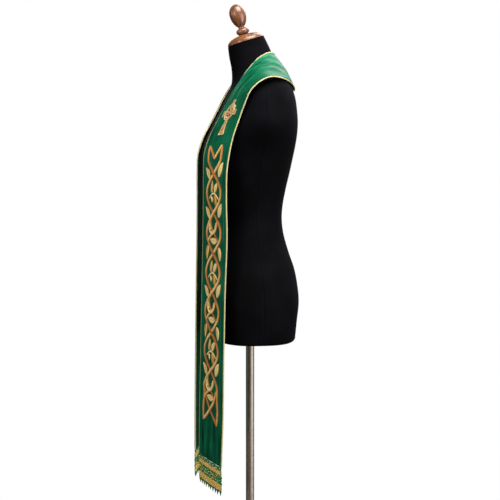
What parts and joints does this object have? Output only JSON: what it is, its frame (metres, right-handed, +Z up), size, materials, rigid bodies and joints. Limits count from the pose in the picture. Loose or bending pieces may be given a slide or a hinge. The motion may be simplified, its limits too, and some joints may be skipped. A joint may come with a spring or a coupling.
{
  "type": "clerical stole and dress form",
  "caption": "Shaped green satin stole with corded edges, vine embroidery and fringed hems, resting on a limbless dress form on a pole stand.",
  "frame": {"origin": "on the floor under the pole's axis, at the centre of the round base", "axes": "+Z up along the pole, -Y the way the form faces, +X the wearer's left"},
  "size_m": [0.374, 0.35, 1.5741],
  "materials": {
    "green_satin": "woven satin, soft sheen",
    "dark_lining": "plain woven lining, dull",
    "gold_cord": "twisted rayon cord, soft sheen",
    "embroidery_thread": "rayon thread, silky",
    "braid_fringe": "woven braid with looped tassels, matte",
    "black_jersey": "stretch knit, matte",
    "turned_wood": "turned, stained and varnished",
    "satin_steel": "satin brushed"
  },
  "bodies": {
    "stand": {"base": "satin_steel", "collar": "satin_steel", "pole": "satin_steel"},
    "form": {"form_body": "black_jersey", "neck_cap": "turned_wood", "finial": "turned_wood", "stole_left": "green_satin", "stole_right": "green_satin", "lining_left": "dark_lining", "lining_right": "dark_lining", "piping_inner_left": "gold_cord", "piping_inner_right": "gold_cord", "piping_outer_left": "gold_cord", "piping_outer_right": "gold_cord", "fringe_left": "braid_fringe", "fringe_right": "braid_fringe"}
  },
  "joints": [
    {"name": "form_swivel", "type": "hinge", "parent": "stand", "child": "form", "pos_m": [0, 0, 0.72], "axis": [0, 0, 1], "continuous": true}
  ]
}
